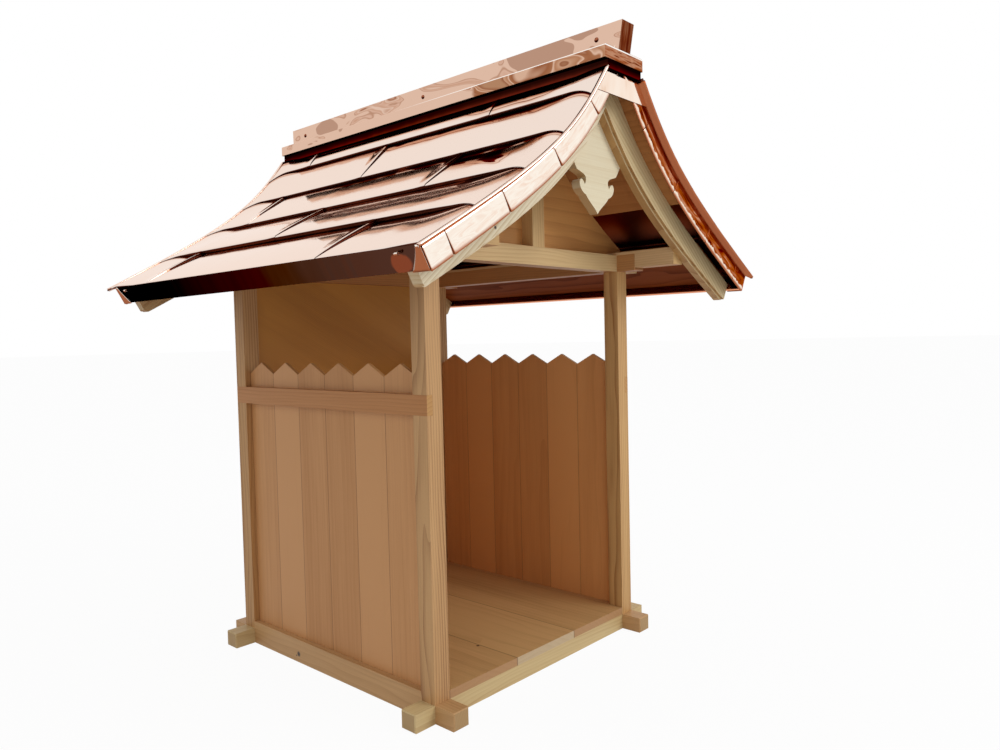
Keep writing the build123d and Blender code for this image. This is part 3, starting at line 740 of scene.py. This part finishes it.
def ridge_paint(tree, place):
    """Rose with thin loops of brown 50 mm high and 140 mm long, painted reflections as in a
    slightly buckled mirror; two brown patches; rings like an agate's on the front half of the
    cap, with a painted pale highlight along its upper edge, fading out towards the rear; the
    ends are streaked brown, upright on the box and level on the cap."""
    part = add(tree, "SeparateXYZ", {0: place})
    long = add(tree, "Mapping", {"Vector": place, "Scale": (12.0, 7.0, 20.0)}).outputs[0]
    loops = add(tree, "TexNoise", {"Vector": long, "Scale": 1.0, "Detail": 1.0,
                                   "Distortion": 1.4}).outputs["Fac"]
    forward = add(tree, "MapRange", {"Value": part.outputs["Y"], "From Min": 0.0,
                                     "From Max": -0.35, "To Min": -0.06, "To Max": 0.06}).outputs[0]
    low = add(tree, "MapRange", {"Value": part.outputs["Z"], "From Min": 0.972,
                                 "From Max": 0.980, "To Min": 1.0, "To Max": -0.2}).outputs[0]
    field = add(tree, "Math", {0: forward, 1: low, 2: loops}, operation="MULTIPLY_ADD").outputs[0]
    sides = add(tree, "ValToRGB", {"Fac": field},
                stops=((0.60, "DDB9A3"), (0.612, "B4866C"), (0.624, "D8B09A"), (0.65, "C79A80"),
                       (0.66, "E0C0AC"), (0.69, "C49880"), (0.70, "9A6246"),
                       (0.73, "D6AE98"))).outputs["Color"]
    upright = add(tree, "Mapping", {"Vector": place, "Scale": (160.0, 8.0, 22.0)}).outputs[0]
    level = add(tree, "Mapping", {"Vector": place, "Scale": (22.0, 8.0, 190.0)}).outputs[0]
    box = add(tree, "Math", {0: part.outputs["Z"], 1: BOX_FOOT},
              operation="GREATER_THAN").outputs[0]
    patchy = sides
    for centre, half in ((-0.265, 0.075), (0.290, 0.012)):
        off = add(tree, "Math", {0: part.outputs["Y"], 1: centre}, operation="SUBTRACT").outputs[0]
        off = add(tree, "Math", {0: off}, operation="ABSOLUTE").outputs[0]
        off = add(tree, "Math", {0: loops, 1: 0.35, 2: off}, operation="MULTIPLY_ADD").outputs[0]
        near = add(tree, "MapRange", {"Value": off, "From Min": half + 0.175,
                                      "From Max": half + 0.172}).outputs[0]
        patchy = add(tree, "Mix", {0: near, 6: patchy, 7: linear("B8907A")},
                     data_type="RGBA").outputs[2]
    agate = add(tree, "ValToRGB", {"Fac": loops},
                stops=((0.36, "B08262"), (0.42, "965F42"), (0.44, "C79A7C"), (0.5, "B07A58"),
                       (0.53, "DDB8A0"), (0.545, "A66E4C"), (0.6, "9A6040"),
                       (0.66, "D4AC92"))).outputs["Color"]
    front = add(tree, "MapRange", {"Value": part.outputs["Y"], "From Min": -0.150,
                                   "From Max": -0.158}).outputs[0]
    cap = add(tree, "Math", {0: part.outputs["Z"], 1: BOX_FOOT - 0.0005},
              operation="LESS_THAN").outputs[0]
    front = add(tree, "Math", {0: front, 1: cap}, operation="MULTIPLY").outputs[0]
    sides = add(tree, "Mix", {0: front, 6: patchy, 7: agate}, data_type="RGBA").outputs[2]
    # Painted highlight: a pale glint along the cap's upper edge, fading out towards the rear.
    glint = add(tree, "Math", {0: part.outputs["Z"], 1: CAP_EDGE, 2: GLINT_HALF},
                operation="COMPARE").outputs[0]
    bright = add(tree, "MapRange", {"Value": part.outputs["Y"], "From Min": 0.05,
                                    "From Max": -0.15}).outputs[0]
    glint = add(tree, "Math", {0: glint, 1: bright}, operation="MULTIPLY").outputs[0]
    streaks = add(tree, "Mix", {0: box, 4: level, 5: upright}, data_type="VECTOR").outputs[1]
    streaks = add(tree, "TexNoise", {"Vector": streaks, "Scale": 1.0, "Detail": 3.0}).outputs["Fac"]
    ends = add(tree, "ValToRGB", {"Fac": streaks},
               stops=((0.3, "5A2010"), (0.48, "A05A38"), (0.6, "C08A6A"),
                      (0.7, "7A3A20"))).outputs["Color"]
    normal = add(tree, "NewGeometry").outputs["Normal"]
    facing = add(tree, "SeparateXYZ", {0: normal}).outputs["Y"]
    facing = add(tree, "Math", {0: facing}, operation="ABSOLUTE").outputs[0]
    facing = add(tree, "Math", {0: facing, 1: 0.7}, operation="GREATER_THAN").outputs[0]
    colour = add(tree, "Mix", {0: facing, 6: sides, 7: ends}, data_type="RGBA").outputs[2]
    return add(tree, "Mix", {0: glint, 6: colour, 7: linear("FFFAF4")},
               data_type="RGBA").outputs[2]


def base_paint(tree, place):
    """Painted shade, black, under the cap; at the foot, a dark red painted reflection of the roof.
    """
    height = add(tree, "SeparateXYZ", {0: place}).outputs["Z"]
    share = add(tree, "MapRange", {"Value": height, "From Min": 0.943,
                                   "From Max": 0.956}).outputs[0]
    grain = add(tree, "TexNoise", {"Vector": place, "Scale": 40.0, "Detail": 2.0}).outputs["Fac"]
    share = add(tree, "Math", {0: grain, 1: 0.3, 2: share}, operation="MULTIPLY_ADD").outputs[0]
    return add(tree, "ValToRGB", {"Fac": share},
               stops=((0.1, "6A2012"), (0.5, "3A1009"), (0.8, "220805"))).outputs["Color"]


finish_nodes(sheet_copper("ridge copper", ridge_paint, "4A1A0E", roughness=0.08),
             "ridge_cap", "ridge_box")
finish_nodes(sheet_copper("shaded ridge base copper", base_paint, "1E0A06"), "ridge_base")


def dome(centre, toward, radius, height):
    """A low dome: a quarter ellipse from the rim up to the middle, turned about the direction
    toward, which the dome faces."""
    turn = np.linspace(0, 2 * np.pi, 20, endpoint=False)[None, :]
    rise = np.linspace(0, 0.5 * np.pi, 7)[:, None]
    toward = np.array(toward, float)
    across = np.cross(toward, (0, 0, 1))
    across = across / np.linalg.norm(across)
    up = np.cross(across, toward)
    round_it = np.cos(turn)[..., None] * across + np.sin(turn)[..., None] * up
    points = (np.array(centre) + radius * np.cos(rise)[..., None] * round_it
              + height * np.sin(rise)[..., None] * toward)
    return patch(points[:, ::-1], wrap=True)


def screw_paint(tree, place):
    """Red-brown, tarnished unevenly in spots of 3 mm."""
    tarnish = add(tree, "TexNoise", {"Vector": place, "Scale": 300.0}).outputs["Fac"]
    return add(tree, "ValToRGB", {"Fac": tarnish},
               stops=((0.35, "6A2C18"), (0.6, "B06A4A"))).outputs["Color"]


SCREW_PLACES, BOX_HALF_WIDTH, SCREW_HEIGHT = (0.380, 0.006, -0.380), 0.0154, 0.999
HEAD_RADIUS, HEAD_RISE = 0.0038, 0.0020
screws = build("ridge_screws", [dome((side * BOX_HALF_WIDTH, y, SCREW_HEIGHT), (side, 0, 0),
                                     HEAD_RADIUS, HEAD_RISE)
                                for side in (-1, 1) for y in SCREW_PLACES],
               sheet_copper("copper screw heads", screw_paint, "4A1A0E", roughness=0.3))


# ---- Studio ------------------------------------------------------------------------------
# A plain white studio: a matt floor that keeps the shadow, a white surround that lights from
# all sides, and one soft round lamp to the front.
def seen_directly(tree):
    """1 for rays from the camera or from a mirror or glass, and 0 for those that only light."""
    rays = add(tree, "LightPath")
    seen = add(tree, "Math", {0: rays.outputs["Is Camera Ray"], 1: rays.outputs["Is Glossy Ray"]},
               operation="ADD").outputs[0]
    return add(tree, "Math", {0: seen, 1: rays.outputs["Is Transmission Ray"]}, operation="ADD",
               use_clamp=True).outputs[0]


def studio_white(name, share):
    """White ground that shows as even white by its share, and as lit and shaded by the rest."""
    material, tree = blank_material(name)
    seen = add(tree, "Math", {0: seen_directly(tree), 1: share}, operation="MULTIPLY").outputs[0]
    matt = add(tree, "BsdfDiffuse", {"Color": linear("F2F2F2")})
    glow = add(tree, "Emission", {"Color": (1, 1, 1, 1), "Strength": 1.0})
    mixed = add(tree, "MixShader", {0: seen, 1: matt.outputs[0], 2: glow.outputs[0]})
    add(tree, "OutputMaterial", {"Surface": mixed.outputs[0]})
    return material


REACH = 60
ground = bpy.data.meshes.new("studio_floor")
ground.from_pydata([(-REACH, -REACH, 0), (REACH, -REACH, 0), (REACH, REACH, 0), (-REACH, REACH, 0)],
                   [], [(0, 1, 2, 3)])
ground.materials.append(studio_white("white studio floor", 0.95))
ground = bpy.data.objects.new("studio_floor", ground)
bpy.context.scene.collection.objects.link(ground)

world = bpy.data.worlds.new("studio")
bpy.context.scene.world = world
world.use_nodes = True
world.node_tree.nodes.clear()
tree = world.node_tree
soft = add(tree, "Background", {"Color": linear("FFFFFF"), "Strength": 0.62})
white = add(tree, "Background", {"Color": (1, 1, 1, 1), "Strength": 1.0})
both = add(tree, "MixShader", {0: seen_directly(tree), 1: soft.outputs[0], 2: white.outputs[0]})
add(tree, "OutputWorld", {"Surface": both.outputs[0]})

lamp = bpy.data.lights.new("soft key", "AREA")
lamp.shape, lamp.size, lamp.energy = "DISK", 1.6, 26.0
lamp = bpy.data.objects.new("soft key", lamp)
lamp.location = (0.9, -2.6, 1.9)
lamp.rotation_euler = (radians(62), 0, radians(18))
bpy.context.scene.collection.objects.link(lamp)

camera = bpy.data.cameras.new("camera")
camera.lens, camera.sensor_width = 28.45, 36.0
camera.clip_start, camera.clip_end = 0.05, 200.0
camera = bpy.data.objects.new("camera", camera)
camera.location = (-1.0140, -1.0773, 0.5557)
camera.rotation_euler = (1.52404, 0.02294, -0.83362)
bpy.context.scene.collection.objects.link(camera)
bpy.context.scene.camera = camera
bpy.context.scene.view_settings.view_transform = "Standard"
